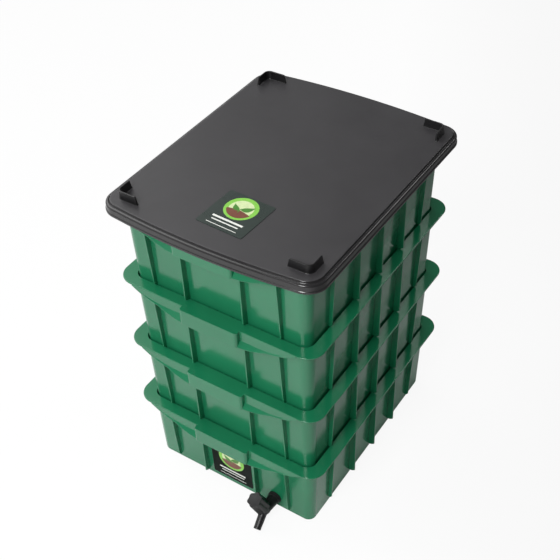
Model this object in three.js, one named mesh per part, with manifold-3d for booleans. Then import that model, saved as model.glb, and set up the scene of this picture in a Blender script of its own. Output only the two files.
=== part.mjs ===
// Stacking worm composter: a closed collector tray with a tap, three perforated
// working trays that stand on one another, and a lid with four corner lugs.
// Lengths are millimetres and angles are degrees. +Z is up and -Y is the end with the tap.
// The origin is the centre of the collector's underside.
import * as THREE from 'three';
import { mergeVertices } from 'three/addons/utils/BufferGeometryUtils.js';
import Module from 'manifold-3d';

const wasm = await Module();
wasm.setup();

// All trays.
const tray_pitch = 127;              // height that one tray adds to the stack
const wall_thickness = 2.3;          // tub wall
const floor_thickness = 2.6;         // tub floor
const contact_gap = 0.3;             // space kept between pieces that touch
const tub_top_half_x = 152.5;        // outside of the tub under its rim, across
const tub_top_half_y = 187.5;        // outside of the tub under its rim, lengthways
const tub_top_corner_radius = 18;
const nest_clearance = 2;            // space round a tub that stands in the tray below
const foot_rounding = 2.4;           // rounding between wall and floor
const mouth_chamfer = 1.6;           // chamfer round the inner edge of the rim
const nest_depth = 9;                // how far a tub reaches below the foot of its fins
const cut_margin = 4;                // how far a cutter reaches past the surface it cuts

// Rim.
const rim_reach_x = 17.5;            // rim past the tub, on the long sides
const rim_reach_y = 15.5;            // rim past the tub, on the short sides
const rim_corner_radius = 27;
const rim_thickness = 2.8;
const skirt_thickness = 2.6;         // lip, shelf and handle skins under the rim
const lip_depth = 17.5;              // upright part of the lip on the short sides
const lip_end_margin = 3;            // lip and shelf run out this far before the rim's corner
// Stations from the handle to the corner, and what is left there of the lip's depth, of the
// depth of the sloping shelf below it and of how far that shelf stands out.
const lip_station_shares = [0, 0.18, 0.36, 0.54, 0.69, 0.85, 1];
const lip_depth_shares = [1, 1, 1, 0.95, 0.79, 0.54, 0.16];
const shelf_depth_shares = [0.99, 0.96, 0.86, 0.7, 0.59, 0.44, 0.15];
const shelf_reach_shares = [0.96, 0.79, 0.58, 0.38, 0.2, 0.04, 0];

// Handles on the short sides.
const handle_half_width = 49.5;
const handle_corner = 4.5;           // taken off its front corners
const handle_reach = 8.5;            // how far it stands out past the rim
const handle_depth = 28;             // height of its front skirt

// Fins.
const fin_thickness = 2.4;
const fin_tip_rise = 3.6;            // slant of the foot, up towards the tip
const end_fin_inner_x = 49.3;        // fins near the ends of the handle
const end_fin_outer_x = 108;         // fins nearer the corners
const end_fin_inner_reach_top = 8.5; // how far a fin stands out from the wall
const end_fin_inner_reach_foot = 10.8;
const end_fin_outer_reach_top = 10.5;
const end_fin_outer_reach_foot = 6.6;
const side_fin_pitch = 65;           // five fins on each long side
const side_fin_reach_top = 7.5;
const side_fin_reach_foot = 10.8;
const side_fin_corner_reach_foot = 5.8;

// Drain holes in the working trays.
const drain_hole_radius = 3.2;
const drain_hole_sides = 6;
const drain_columns = 6;
const drain_rows = 8;
const drain_pitch_x = 44;
const drain_pitch_y = 43;

// Lid.
const lid_overhang_x = 7;            // lid past the rim, on the long sides
const lid_overhang_y = 6;            // lid past the rim, at the ends of the short sides
const lid_skirt_drop = 6;            // skirt below the top of the rim
const lid_bead_height = 3.2;         // bead along the lower edge of the skirt
const lid_bead_depth = 1;
const lid_shoulder_height = 5.2;     // top of the upright part of the skirt
const lid_shoulder_inset = 2.2;
const lid_ledge_height = 7.4;        // narrow ledge round the panel
const lid_ledge_inset = 4;
const lid_groove_inset = 5.6;        // groove at the foot of the panel's edge
const lid_groove_height = 6.8;
const lid_step_inset = 6.4;
const lid_step_height = 9;
const lid_panel_inset = 8.2;
const lid_panel_height = 10;
const lid_skin = 2.4;
const lid_seat_inset = 8.5;          // ridge underneath, in from the edge of the rim it stands on
const lid_bow_segments = 10;

// Lugs on the lid.
const lug_inset_x = 20;              // lug in from the lid's long side
const lug_inset_y = 22;              // lug in from the lid's short side
const lug_arm_x = 34;
const lug_arm_y = 28;
const lug_height = 13;
const lug_thickness = 3.6;
const lug_corner_radius = 8;
const lug_end_draft = 2.4;           // slope of the arm's end
const lug_side_draft = 0.5;
const lug_corner_segments = 5;

// Film labels.
const label_width = 77;
const label_height = 79;
const label_thickness = 0.4;
const label_corner_radius = 3;
const lid_label_offset_x = 4.5;      // right of the middle
const lid_label_inset_y = 37;        // from the end of the lid to the label
const lid_label_skew = -2.7;         // stuck on slightly askew
const collector_label_foot = 10.5;   // lower edge above the collector's floor
const collector_label_offset_x = -0.8;

// Tap.
const tap_x = 81;
const tap_height = 22.9;             // barrel above the floor
const tap_roll = 11;                 // knob turned a little to the left as seen from the front
const tap_segments = 18;
const tail_radius = 7.2;             // threaded tail through the wall
const tail_length = 16;              // from the outside of the wall inwards
const tail_clearance = 0.4;          // round the tail, in the wall, the washers and the nut
const seal_width = 3.6;              // outer washer, from its hole to its rim
const seal_thickness = 2.6;
const collar_width = 1.2;            // collar past the barrel
const collar_thickness = 3;
const barrel_radius = 10;            // at the collar
const barrel_past = 8.5;             // barrel runs on past the valve axis
const barrel_end_radius = 7.1;
const barrel_end_chamfer = 2;
const bore_radius = 4.2;
const valve_distance = 28.9;         // valve axis out from the wall
const valve_tilt = 21;               // knob axis leans out from upright
const housing_wall = 2.2;
const housing_floor = 1.8;
const housing_edge = 3;            // chamfer round its foot
const housing_top = 15;              // above the barrel's axis
const plug_clearance = 0.4;          // round the plug
const plug_foot_clearance = 0.6;     // below the plug
const spout_lead = 2.6;              // straight part past the valve axis
const spout_angle = 31.5;            // below level
const spout_bend_radius = 8;
const spout_bend_steps = 5;
const spout_straight = 27.2;
const spout_radius = 6.6;
const spout_tip_radius = 6;
const spout_wall = 2.3;
const inner_seal_width = 3.4;
const inner_seal_thickness = 1.8;
const nut_wall = 2.4;                // from its hole to a flat
const nut_thickness = 6;
const nut_sides = 6;
const plug_radius = 5.3;
const plug_foot = 4.2;
const plug_top = 12.5;               // above the barrel's axis
const plug_port_radius = 3.4;
const plug_turn = 90;                // from shut to open
const stem_radius = 3;
const stem_length = 17.5;
const seal_ring_height = 9;          // small ring round the plug
const seal_ring_section = 0.5;
const seal_groove_depth = 1.3;
const seal_groove_clearance = 0.4;   // above and below the ring
const seal_ring_sides = 6;

// Tap knob.
const knob_lobes = 6;
const knob_lobe_steps = 6;
const knob_overlap = 3.5;            // knob reaches down over the housing
const knob_height = 30.8;
const knob_wall = 2.8;               // round the hollow, between the lobes at the foot
const knob_taper = 0.8;              // from foot to top
const knob_lobe_depth = 1.8;
const knob_edge_drop = 1;
const knob_edge_inset = 0.6;
const knob_dome_inset = 7;
const knob_dome_rise = 0.8;
const knob_clearance = 1.2;          // round the housing
const knob_headroom = 2;             // above the housing
const knob_socket_headroom = 0.6;    // above the stem

const corner_segments = 6;           // steps in each rounded corner
const foot_rounding_share = 0.33;

// Small helpers.
const half = (value) => value / 2;
const mix = (from, to, share) => from + (to - from) * share;
const radians = THREE.MathUtils.degToRad;

// Places and sizes that follow from the ones above.
const tub_foot_half_x = tub_top_half_x - wall_thickness - nest_clearance;
const tub_foot_half_y = tub_top_half_y - wall_thickness - nest_clearance;
const tub_foot_corner_radius = tub_top_corner_radius - wall_thickness - nest_clearance;
const rim_half_x = tub_top_half_x + rim_reach_x;
const rim_half_y = tub_top_half_y + rim_reach_y;
const collector_drop = nest_depth;
const handle_face_half = handle_half_width - handle_corner;
const lip_end_x = rim_half_x - rim_corner_radius - lip_end_margin;
const lid_half_x = rim_half_x + lid_overhang_x;
const lid_end_y = rim_half_y + lid_overhang_y;
const lid_bow = handle_reach;
const lid_corner_radius = rim_corner_radius + half(lid_overhang_x);
const tail_hole_radius = tail_radius + tail_clearance;
const housing_bore_radius = plug_radius + plug_clearance;
const housing_bore_foot = plug_foot + plug_foot_clearance;
const housing_radius = housing_bore_radius + housing_wall;
const housing_foot = housing_bore_foot + housing_floor;
const spout_start = valve_distance + spout_lead;
const spout_bore_radius = spout_radius - spout_wall;
const seal_groove_radius = plug_radius - seal_groove_depth;
const seal_groove_half = seal_ring_section + seal_groove_clearance;
const seal_ring_radius = plug_radius + contact_gap / 6 - seal_ring_section;
const stem_top = plug_top + stem_length;
const knob_foot = housing_top - knob_overlap;
const knob_top = knob_foot + knob_height;
const knob_hollow_radius = housing_radius + knob_clearance;
const knob_hollow_top = housing_top + knob_headroom;
const knob_foot_radius = knob_hollow_radius + knob_wall + knob_lobe_depth;
const knob_top_radius = knob_foot_radius - knob_taper;
const knob_socket_radius = stem_radius + contact_gap;
const knob_socket_top = stem_top + knob_socket_headroom;

function cleared(geometry) {
  const bare = geometry.clone();
  bare.deleteAttribute('normal');
  bare.deleteAttribute('uv');
  return mergeVertices(bare);
}

function solid(geometry) {
  const bare = cleared(geometry);
  return new wasm.Manifold(new wasm.Mesh({
    numProp: 3,
    vertProperties: new Float32Array(bare.attributes.position.array),
    triVerts: new Uint32Array(bare.index.array),
  }));
}

function geometryOf(shape) {
  const mesh = shape.getMesh();
  const geometry = new THREE.BufferGeometry();
  geometry.setAttribute('position', new THREE.BufferAttribute(new Float32Array(mesh.vertProperties), 3));
  geometry.setIndex(new THREE.BufferAttribute(new Uint32Array(mesh.triVerts), 1));
  const loose = geometry.toNonIndexed();
  loose.computeVertexNormals();
  return loose;
}

function signedVolume(points, faces) {
  let sum = 0;
  const cross = new THREE.Vector3();
  for (const [a, b, c] of faces) {
    cross.crossVectors(points[b], points[c]);
    sum += points[a].dot(cross);
  }
  return sum;
}

// A closed skin through sections that all have the same number of points.
// Each section is a list of flat points; place(point, index) puts one into space.
function loft(sections, place) {
  const count = sections[0].length;
  const points = [];
  const faces = [];
  sections.forEach((section, index) => {
    for (const point of section) points.push(place(point, index));
  });
  for (let s = 0; s + 1 < sections.length; s += 1) {
    for (let i = 0; i < count; i += 1) {
      const j = (i + 1) % count;
      const low = s * count;
      const high = low + count;
      faces.push([low + i, low + j, high + j]);
      faces.push([low + i, high + j, high + i]);
    }
  }
  const last = (sections.length - 1) * count;
  for (const [a, b, c] of THREE.ShapeUtils.triangulateShape(sections[0], [])) {
    faces.push([c, b, a]);
  }
  for (const [a, b, c] of THREE.ShapeUtils.triangulateShape(sections[sections.length - 1], [])) {
    faces.push([last + a, last + b, last + c]);
  }
  const flip = signedVolume(points, faces) < 0;
  const flat = [];
  for (const [a, b, c] of faces) {
    const order = flip ? [a, c, b] : [a, b, c];
    for (const index of order) flat.push(points[index].x, points[index].y, points[index].z);
  }
  const geometry = new THREE.BufferGeometry();
  geometry.setAttribute('position', new THREE.Float32BufferAttribute(flat, 3));
  return geometry;
}

function roundedRect(half_x, half_y, radius) {
  const points = [];
  const corners = [[1, -1, -90], [1, 1, 0], [-1, 1, 90], [-1, -1, 180]];
  for (const [side_x, side_y, start] of corners) {
    for (let i = 0; i <= corner_segments; i += 1) {
      const angle = radians(start + (90 * i) / corner_segments);
      const x = side_x * (half_x - radius) + radius * Math.cos(angle);
      const y = side_y * (half_y - radius) + radius * Math.sin(angle);
      points.push(new THREE.Vector2(x, y));
    }
  }
  return points;
}

// Flat outlines stacked at given heights.
function stack(layers) {
  const outlines = layers.map((layer) => layer.outline);
  return solid(loft(outlines, (point, index) => new THREE.Vector3(point.x, point.y, layers[index].z)));
}

function prism(outline, low, high) {
  return stack([{ outline, z: low }, { outline, z: high }]);
}

// A turned piece: radii and heights along an axis that stands upright.
function turned(rings, sides) {
  const layers = rings.map(([radius, z]) => ({ outline: circle(radius, sides), z }));
  return stack(layers);
}

function circle(radius, sides) {
  const points = [];
  for (let i = 0; i < sides; i += 1) {
    const angle = radians((360 * (i + 0.5)) / sides);
    points.push(new THREE.Vector2(radius * Math.cos(angle), radius * Math.sin(angle)));
  }
  return points;
}

function moved(shape, x, y, z) {
  return shape.translate([x, y, z]);
}

function mirroredOnX(shape) {
  return shape.add(shape.mirror([1, 0, 0]));
}

function mirroredOnY(shape) {
  return shape.add(shape.mirror([0, 1, 0]));
}

// Tray.
const tubHalfX = (z) => mix(tub_foot_half_x, tub_top_half_x, z / tray_pitch);
const tubHalfY = (z) => mix(tub_foot_half_y, tub_top_half_y, z / tray_pitch);
const tubRadius = (z) => mix(tub_foot_corner_radius, tub_top_corner_radius, z / tray_pitch);

function tubRing(z, inset) {
  const radius = Math.max(tubRadius(z) - inset, foot_rounding);
  return { outline: roundedRect(tubHalfX(z) - inset, tubHalfY(z) - inset, radius), z };
}

function tubOutside(foot) {
  return stack([
    tubRing(foot, foot_rounding),
    tubRing(foot + foot_rounding * foot_rounding_share, foot_rounding * foot_rounding_share),
    tubRing(foot + foot_rounding, 0),
    tubRing(tray_pitch - half(rim_thickness), 0),
  ]);
}

function tubInside(foot) {
  const floor_top = foot + floor_thickness;
  const mouth = tubRing(tray_pitch, wall_thickness - mouth_chamfer);
  return stack([
    tubRing(floor_top, wall_thickness + half(foot_rounding)),
    tubRing(floor_top + half(foot_rounding), wall_thickness),
    tubRing(tray_pitch - mouth_chamfer, wall_thickness),
    mouth,
    { outline: mouth.outline, z: tray_pitch + cut_margin },
  ]);
}

// Lip on one half of a short side, and the shelf that slopes out below it to the handle's foot.
function lipHalf() {
  const start = handle_face_half - half(skirt_thickness);
  const top = tray_pitch - half(rim_thickness);
  const stations = [];
  const sections = lip_station_shares.map((share, i) => {
    stations.push(mix(start, lip_end_x, share));
    const lip = tray_pitch - lip_depth * lip_depth_shares[i];
    const low = Math.min(tray_pitch - handle_depth * shelf_depth_shares[i], lip - half(skirt_thickness));
    const reach = handle_reach * shelf_reach_shares[i];
    const outer = -rim_half_y;
    const inner = outer + skirt_thickness;
    return [
      new THREE.Vector2(outer, top),
      new THREE.Vector2(outer, lip),
      new THREE.Vector2(outer - reach, low),
      new THREE.Vector2(inner - reach, low),
      new THREE.Vector2(inner, lip),
      new THREE.Vector2(inner, top),
    ];
  });
  return solid(loft(sections, (point, index) => new THREE.Vector3(stations[index], point.x, point.y)));
}

function handleOutline(inset, back) {
  const face = rim_half_y + handle_reach - inset;
  const side = handle_half_width - inset;
  const corner = handle_corner - half(inset);
  return [
    new THREE.Vector2(-side, -back),
    new THREE.Vector2(-side, corner - face),
    new THREE.Vector2(corner - side, -face),
    new THREE.Vector2(side - corner, -face),
    new THREE.Vector2(side, corner - face),
    new THREE.Vector2(side, -back),
  ];
}

// Handle and lips of one short side.
function endSkirt() {
  const foot = tray_pitch - handle_depth;
  const back = tubHalfY(foot) - half(wall_thickness);
  const block = prism(handleOutline(0, back), foot, tray_pitch);
  const hollow = prism(handleOutline(skirt_thickness, back - cut_margin), foot - cut_margin, tray_pitch - rim_thickness);
  return mirroredOnX(lipHalf()).add(block).subtract(hollow);
}

// A fin seen from its side: distance from the centre against height.
function finOutline(wallAt, reach_top, reach_foot) {
  const foot = contact_gap;
  const top = tray_pitch - half(rim_thickness);
  const sunk = half(wall_thickness);
  return [
    new THREE.Vector2(wallAt(foot) - sunk, foot),
    new THREE.Vector2(wallAt(foot) + half(reach_foot), foot),
    new THREE.Vector2(wallAt(0) + reach_foot, foot + fin_tip_rise),
    new THREE.Vector2(wallAt(tray_pitch) + reach_top, top),
    new THREE.Vector2(wallAt(top) - sunk, top),
  ];
}

function endFin(x, reach_top, reach_foot) {
  const outline = finOutline(tubHalfY, reach_top, reach_foot);
  const sides = [x - half(fin_thickness), x + half(fin_thickness)];
  return solid(loft([outline, outline], (point, index) => new THREE.Vector3(sides[index], -point.x, point.y)));
}

function sideFin(y, reach_foot) {
  const outline = finOutline(tubHalfX, side_fin_reach_top, reach_foot);
  const sides = [y - half(fin_thickness), y + half(fin_thickness)];
  return solid(loft([outline, outline], (point, index) => new THREE.Vector3(point.x, sides[index], point.y)));
}

function fins() {
  const end = endFin(end_fin_inner_x, end_fin_inner_reach_top, end_fin_inner_reach_foot)
    .add(endFin(end_fin_outer_x, end_fin_outer_reach_top, end_fin_outer_reach_foot));
  const side = sideFin(0, side_fin_reach_foot)
    .add(sideFin(side_fin_pitch, side_fin_reach_foot))
    .add(sideFin(2 * side_fin_pitch, side_fin_corner_reach_foot));
  return mirroredOnX(mirroredOnY(end)).add(mirroredOnX(mirroredOnY(side)));
}

function drainHoles(foot) {
  let holes = null;
  for (let column = 0; column < drain_columns; column += 1) {
    for (let row = 0; row < drain_rows; row += 1) {
      const x = (column - half(drain_columns - 1)) * drain_pitch_x;
      const y = (row - half(drain_rows - 1)) * drain_pitch_y;
      const hole = moved(prism(circle(drain_hole_radius, drain_hole_sides),
        foot - cut_margin, foot + cut_margin + floor_thickness), x, y, 0);
      holes = holes ? holes.add(hole) : hole;
    }
  }
  return holes;
}

const rimPlate = prism(roundedRect(rim_half_x, rim_half_y, rim_corner_radius),
  tray_pitch - rim_thickness, tray_pitch);
const endTrim = mirroredOnY(endSkirt());
const trimmings = rimPlate.add(endTrim).add(fins());

function tray(foot, perforated) {
  const body = tubOutside(foot).add(trimmings).subtract(tubInside(foot));
  return perforated ? body.subtract(drainHoles(foot)) : body;
}

// Lid, with height 0 at the top of the rim it stands on.
function lidOutline(inset) {
  const radius = lid_corner_radius - inset;
  const centre_x = lid_half_x - lid_corner_radius;
  const centre_y = lid_end_y - lid_corner_radius;
  const points = [];
  const corners = [[1, -1, -90], [1, 1, 0], [-1, 1, 90], [-1, -1, 180]];
  for (const [side_x, side_y, start] of corners) {
    for (let i = 0; i <= corner_segments; i += 1) {
      const angle = radians(start + (90 * i) / corner_segments);
      points.push(new THREE.Vector2(side_x * centre_x + radius * Math.cos(angle),
        side_y * centre_y + radius * Math.sin(angle)));
    }
    if (side_x === side_y) {
      for (let i = 1; i < lid_bow_segments; i += 1) {
        const share = (2 * i) / lid_bow_segments - 1;
        const y = lid_end_y - inset + lid_bow * (1 - share * share);
        points.push(new THREE.Vector2(-side_x * share * centre_x, side_y * y));
      }
    }
  }
  return points;
}

function lugOutline(draft) {
  const thick = half(lug_thickness) - draft * lug_side_draft;
  const reach_x = lug_arm_x - draft * lug_end_draft;
  const reach_y = lug_arm_y - draft * lug_end_draft;
  const bend = lug_corner_radius;
  const outer = [];
  const inner = [];
  for (let i = 0; i <= lug_corner_segments; i += 1) {
    const angle = radians((90 * i) / lug_corner_segments);
    const towards = [Math.cos(angle), Math.sin(angle)];
    outer.push([(bend + thick) * towards[0] - bend, (bend + thick) * towards[1] - bend]);
    inner.unshift([(bend - thick) * towards[0] - bend, (bend - thick) * towards[1] - bend]);
  }
  const line = [[thick, -reach_y], ...outer, [-reach_x, thick], [-reach_x, -thick], ...inner, [-thick, -reach_y]];
  return line.map(([x, y]) => new THREE.Vector2(x, y));
}

function lug() {
  const shape = stack([
    { outline: lugOutline(0), z: lid_panel_height - half(lid_skin) },
    { outline: lugOutline(0), z: lid_panel_height },
    { outline: lugOutline(1), z: lid_panel_height + lug_height },
  ]);
  return moved(shape, lid_half_x - lug_inset_x - half(lug_thickness),
    lid_end_y - lug_inset_y - half(lug_thickness), 0);
}

function lid() {
  const outside = stack([
    { outline: lidOutline(0), z: -lid_skirt_drop },
    { outline: lidOutline(0), z: -lid_skirt_drop + lid_bead_height },
    { outline: lidOutline(lid_bead_depth), z: -lid_skirt_drop + lid_bead_height + lid_bead_depth },
    { outline: lidOutline(lid_bead_depth), z: half(lid_shoulder_height) },
    { outline: lidOutline(lid_shoulder_inset), z: lid_shoulder_height + half(lid_bead_depth) },
    { outline: lidOutline(lid_ledge_inset), z: lid_ledge_height },
    { outline: lidOutline(lid_groove_inset), z: lid_groove_height },
    { outline: lidOutline(lid_step_inset), z: lid_step_height },
    { outline: lidOutline(lid_panel_inset), z: lid_panel_height },
  ]);
  const under = lid_panel_height - lid_skin;
  const skirt_inset = lid_bead_depth + lid_skin;
  const step_inset = lid_step_inset + lid_skin;
  const hollow = stack([
    { outline: lidOutline(skirt_inset), z: -lid_skirt_drop - cut_margin },
    { outline: lidOutline(skirt_inset), z: half(lid_shoulder_height) },
    { outline: lidOutline(lid_groove_inset + lid_bead_depth), z: lid_ledge_height - lid_skin },
    { outline: lidOutline(step_inset), z: lid_ledge_height - lid_skin },
    { outline: lidOutline(step_inset + half(lid_skin)), z: under },
  ]);
  const seat_low = contact_gap;
  const seat_high = under + half(lid_skin);
  const seat_x = rim_half_x - lid_seat_inset;
  const seat_y = rim_half_y - lid_seat_inset;
  const seat_radius = rim_corner_radius - lid_seat_inset;
  const ridge = prism(roundedRect(seat_x, seat_y, seat_radius), seat_low, seat_high);
  const within = prism(roundedRect(seat_x - lid_skin, seat_y - lid_skin, seat_radius - lid_skin),
    seat_low - cut_margin, seat_high + cut_margin);
  const seat = ridge.subtract(within);
  return outside.subtract(hollow).add(seat).add(mirroredOnY(mirroredOnX(lug())));
}

// Labels.
const filmOutline = roundedRect(half(label_width), half(label_height), label_corner_radius);
const wall_lean = THREE.MathUtils.radToDeg(Math.atan2(tub_top_half_y - tub_foot_half_y, tray_pitch));

function lidLabel() {
  const low = lid_panel_height + contact_gap;
  return prism(filmOutline, low, low + label_thickness).rotate([0, 0, lid_label_skew])
    .translate([lid_label_offset_x, lid_label_inset_y + half(label_height) - lid_end_y, 0]);
}

// The film stands against the leaning front wall of the collector.
function collectorLabel() {
  const centre_z = collector_label_foot + half(label_height);
  const film = prism(filmOutline, contact_gap, contact_gap + label_thickness);
  const y = -tubHalfY(centre_z - collector_drop);
  return film.rotate([90 + wall_lean, 0, 0]).translate([collector_label_offset_x, y, centre_z]);
}

// Tap: built with its barrel along -Y from the outside of the wall, knob upwards.
const alongBarrel = (shape) => shape.rotate([90, 0, 0]);

function tapPlace(shape) {
  const y = -tubHalfY(tap_height - collector_drop);
  return shape.rotate([0, -tap_roll, 0]).rotate([wall_lean, 0, 0]).translate([tap_x, y, tap_height]);
}

// Shapes made along +Z are set on the valve axis, which leans out from the barrel.
function onValve(shape) {
  return shape.rotate([valve_tilt, 0, 0]).translate([0, -valve_distance, 0]);
}

function spoutSweep(radius, tip_radius, start, extra) {
  const stations = [{ y: start, z: 0, lean: 0, r: radius }];
  for (let i = 0; i <= spout_bend_steps; i += 1) {
    const lean = (spout_angle * i) / spout_bend_steps;
    stations.push({
      y: spout_start + spout_bend_radius * Math.sin(radians(lean)),
      z: -spout_bend_radius * (1 - Math.cos(radians(lean))),
      lean,
      r: radius,
    });
  }
  const last = stations[stations.length - 1];
  const run = spout_straight + extra;
  stations.push({
    y: last.y + run * Math.cos(radians(spout_angle)),
    z: last.z - run * Math.sin(radians(spout_angle)),
    lean: spout_angle,
    r: tip_radius,
  });
  const sections = stations.map((station) => circle(station.r, tap_segments));
  return solid(loft(sections, (point, index) => {
    const { y, z, lean } = stations[index];
    const up = radians(lean);
    return new THREE.Vector3(point.x, -(y + point.y * Math.sin(up)), z + point.y * Math.cos(up));
  }));
}

function tapBody() {
  const collar_start = contact_gap + seal_thickness + contact_gap;
  const tail = alongBarrel(turned([[tail_radius, -tail_length], [tail_radius, collar_start]], tap_segments));
  const collar = alongBarrel(turned([
    [barrel_radius + collar_width, collar_start],
    [barrel_radius + collar_width, collar_start + collar_thickness],
  ], tap_segments));
  const barrel = alongBarrel(turned([
    [barrel_radius, collar_start],
    [barrel_end_radius, valve_distance + barrel_past],
    [barrel_end_radius - barrel_end_chamfer, valve_distance + barrel_past + barrel_end_chamfer],
  ], tap_segments));
  const housing = onValve(turned([
    [housing_radius - housing_edge, -housing_foot],
    [housing_radius, -housing_foot + housing_edge],
    [housing_radius, housing_top],
  ], tap_segments));
  const spout = spoutSweep(spout_radius, spout_tip_radius, valve_distance, 0);
  const shell = tail.add(collar).add(barrel).add(housing).add(spout);
  const inlet = alongBarrel(turned([
    [bore_radius, -tail_length - cut_margin],
    [bore_radius, valve_distance],
  ], tap_segments));
  const outlet = spoutSweep(spout_bore_radius, spout_bore_radius, valve_distance, cut_margin);
  const chamber = onValve(turned([
    [housing_bore_radius, -housing_bore_foot],
    [housing_bore_radius, housing_top + cut_margin],
  ], tap_segments));
  return shell.subtract(inlet).subtract(outlet).subtract(chamber);
}

function ringPiece(outer_sides, outer_radius, inner_radius, near, far) {
  const outside = turned([[outer_radius, near], [outer_radius, far]], outer_sides);
  const inside = turned([[inner_radius, near - cut_margin], [inner_radius, far + cut_margin]], tap_segments);
  return alongBarrel(outside.subtract(inside));
}

// The port lies across the barrel at rest, so the tap is stored shut.
function tapPlug() {
  const groove_low = seal_ring_height - seal_groove_half;
  const groove_high = seal_ring_height + seal_groove_half;
  const plug = turned([
    [plug_radius, -plug_foot],
    [plug_radius, groove_low],
    [seal_groove_radius, groove_low],
    [seal_groove_radius, groove_high],
    [plug_radius, groove_high],
    [plug_radius, plug_top],
    [stem_radius, plug_top],
    [stem_radius, stem_top],
  ], tap_segments);
  const port_half = plug_radius + cut_margin;
  const port = alongBarrel(turned([
    [plug_port_radius, -port_half],
    [plug_port_radius, port_half],
  ], tap_segments)).rotate([-valve_tilt, 0, 0]);
  return onValve(plug.subtract(port).rotate([0, 0, -plug_turn]));
}

function plugSeal() {
  const ring = new THREE.TorusGeometry(seal_ring_radius, seal_ring_section, seal_ring_sides, tap_segments);
  return onValve(solid(ring).translate([0, 0, seal_ring_height]));
}

function lobed(radius) {
  const points = [];
  const steps = knob_lobes * knob_lobe_steps;
  for (let i = 0; i < steps; i += 1) {
    const angle = radians((360 * i) / steps);
    const reach = radius - knob_lobe_depth * half(1 + Math.cos(knob_lobes * angle));
    points.push(new THREE.Vector2(reach * Math.cos(angle), reach * Math.sin(angle)));
  }
  return points;
}

function tapKnob() {
  const body = stack([
    { outline: lobed(knob_foot_radius), z: knob_foot },
    { outline: lobed(knob_top_radius), z: knob_top - knob_edge_drop },
    { outline: lobed(knob_top_radius - knob_edge_inset), z: knob_top },
    { outline: lobed(knob_top_radius - knob_dome_inset), z: knob_top + knob_dome_rise },
  ]);
  const hollow = turned([
    [knob_hollow_radius, knob_foot - cut_margin],
    [knob_hollow_radius, knob_hollow_top],
  ], tap_segments);
  const socket = turned([
    [knob_socket_radius, knob_foot],
    [knob_socket_radius, knob_socket_top],
  ], tap_segments);
  return onValve(body.subtract(hollow).subtract(socket));
}

// Materials.
function material(color, roughness, metalness) {
  return new THREE.MeshStandardMaterial({ color, roughness, metalness });
}

const group = new THREE.Group();
group.name = 'wormery';

function addPiece(name, shape, color, roughness) {
  const mesh = new THREE.Mesh(geometryOf(shape), material(color, roughness, 0));
  mesh.name = name;
  group.add(mesh);
}

const green = 0x1d7a52;
const lid_grey = 0x47464a;
const black = 0x1c1c1e;
const rubber_black = 0x101011;
const film = 0x23302c;

// Assembly.
const seal_near = contact_gap;
const seal_far = seal_near + seal_thickness;
const inner_seal_far = -wall_thickness - contact_gap;
const inner_seal_near = inner_seal_far - inner_seal_thickness;
const nut_far = inner_seal_near - contact_gap;
const nut_near = nut_far - nut_thickness;
const nut_corner_radius = (tail_hole_radius + nut_wall) / Math.cos(Math.PI / nut_sides);
const hole_reach = wall_thickness + cut_margin;

const tapHole = tapPlace(alongBarrel(turned([
  [tail_hole_radius, -hole_reach],
  [tail_hole_radius, half(cut_margin)],
], tap_segments)));

const collector = moved(tray(-collector_drop, false), 0, 0, collector_drop).subtract(tapHole);
const workingTray = tray(-nest_depth, true);
const lower_z = collector_drop + tray_pitch;
const middle_z = lower_z + tray_pitch;
const upper_z = middle_z + tray_pitch;
const lid_z = upper_z + tray_pitch;

addPiece('collector_tray', collector, green, 0.3);
addPiece('tray_lower', moved(workingTray, 0, 0, lower_z), green, 0.3);
addPiece('tray_middle', moved(workingTray, 0, 0, middle_z), green, 0.3);
addPiece('tray_upper', moved(workingTray, 0, 0, upper_z), green, 0.3);
addPiece('lid', moved(lid(), 0, 0, lid_z), lid_grey, 0.45);
addPiece('lid_label', moved(lidLabel(), 0, 0, lid_z), film, 0.35);
addPiece('collector_label', collectorLabel(), film, 0.35);
addPiece('tap_body', tapPlace(tapBody()), black, 0.4);
addPiece('tap_outer_washer', tapPlace(ringPiece(tap_segments, tail_hole_radius + seal_width, tail_hole_radius,
  seal_near, seal_far)), rubber_black, 0.75);
addPiece('tap_inner_washer', tapPlace(ringPiece(tap_segments, tail_hole_radius + inner_seal_width,
  tail_hole_radius, inner_seal_near, inner_seal_far)), rubber_black, 0.75);
addPiece('tap_back_nut', tapPlace(ringPiece(nut_sides, nut_corner_radius, tail_hole_radius,
  nut_near, nut_far)), black, 0.45);
addPiece('tap_valve_plug', tapPlace(tapPlug()), black, 0.4);
addPiece('tap_plug_seal', tapPlace(plugSeal()), rubber_black, 0.7);
addPiece('tap_knob', tapPlace(tapKnob()), black, 0.4);

export default group;
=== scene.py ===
# Looks for the stacking worm composter. Metres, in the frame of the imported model.
import bpy
import bmesh
import math
from mathutils import Vector, Matrix


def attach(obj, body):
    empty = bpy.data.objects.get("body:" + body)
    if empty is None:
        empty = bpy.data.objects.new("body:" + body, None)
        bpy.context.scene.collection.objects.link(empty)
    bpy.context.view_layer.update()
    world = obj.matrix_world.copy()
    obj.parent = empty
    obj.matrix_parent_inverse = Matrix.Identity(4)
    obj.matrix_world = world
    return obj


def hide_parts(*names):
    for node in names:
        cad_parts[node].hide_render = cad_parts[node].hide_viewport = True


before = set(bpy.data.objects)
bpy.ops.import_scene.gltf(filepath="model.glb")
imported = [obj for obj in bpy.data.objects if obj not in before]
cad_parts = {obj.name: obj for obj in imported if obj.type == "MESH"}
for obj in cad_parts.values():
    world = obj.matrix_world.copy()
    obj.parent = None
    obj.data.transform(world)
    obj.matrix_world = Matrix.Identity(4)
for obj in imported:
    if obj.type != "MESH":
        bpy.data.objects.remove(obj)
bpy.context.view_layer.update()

MM = 0.001

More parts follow.
